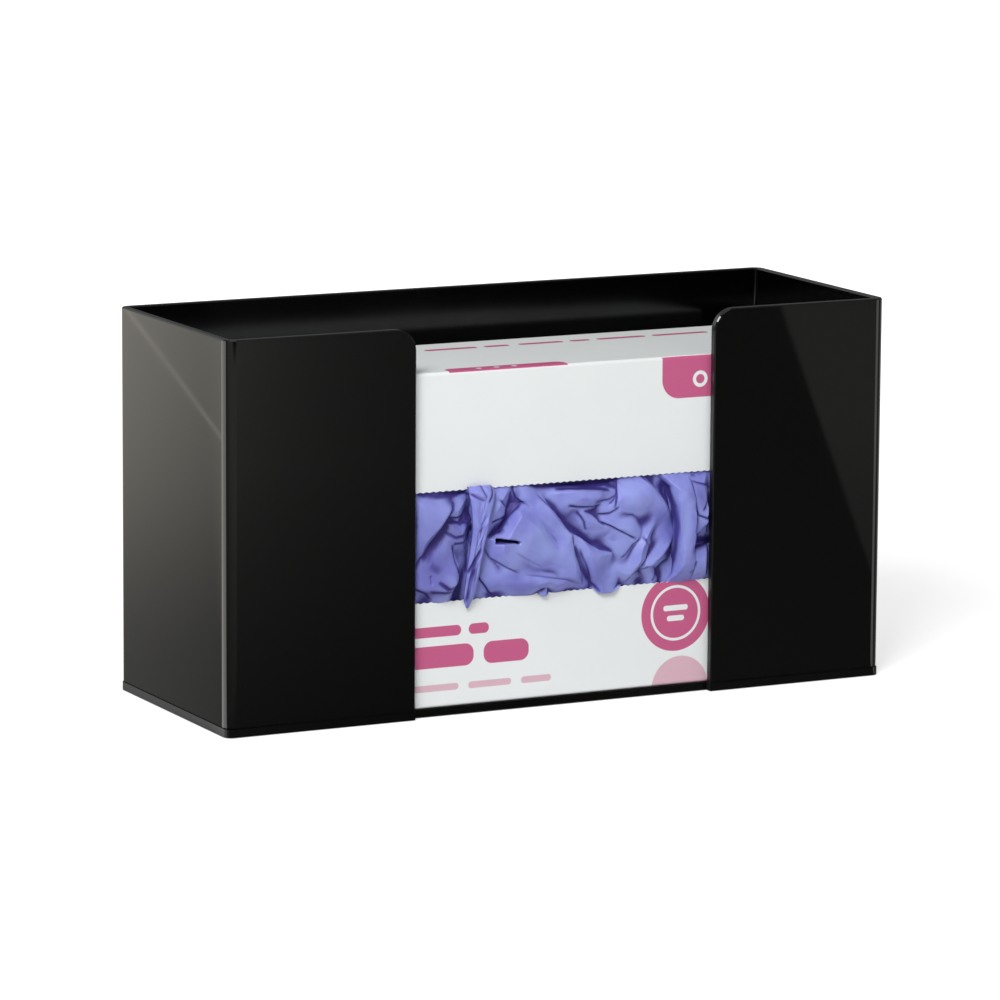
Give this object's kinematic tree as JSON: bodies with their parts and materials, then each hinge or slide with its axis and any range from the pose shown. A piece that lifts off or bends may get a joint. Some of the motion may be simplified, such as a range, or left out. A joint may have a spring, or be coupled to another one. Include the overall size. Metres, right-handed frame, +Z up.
{
  "type": "disposable glove dispenser",
  "caption": "Open-topped black acrylic holder with an open front slot, holding a white glove carton; nitrile gloves bulge from the carton's torn-out opening.",
  "frame": {"origin": "middle of the bottom plate's underside, on the surface the holder stands on", "axes": "+X along the width, to the right seen from the front; +Y from the open front to the wall behind; +Z up, out of the open top"},
  "size_m": [0.263, 0.0988, 0.14],
  "materials": {
    "acrylic": "polished black acrylic sheet",
    "card": "white coated folding board with plain magenta print",
    "nitrile": "thin violet-blue nitrile film, satin"
  },
  "bodies": {
    "root": {"bottom_plate": "acrylic", "folded_shell": "acrylic", "carton": "card", "glove_stack": "nitrile", "pulled_glove_1": "nitrile", "pulled_glove_2": "nitrile", "pulled_glove_3": "nitrile", "pulled_glove_4": "nitrile"}
  },
  "joints": []
}
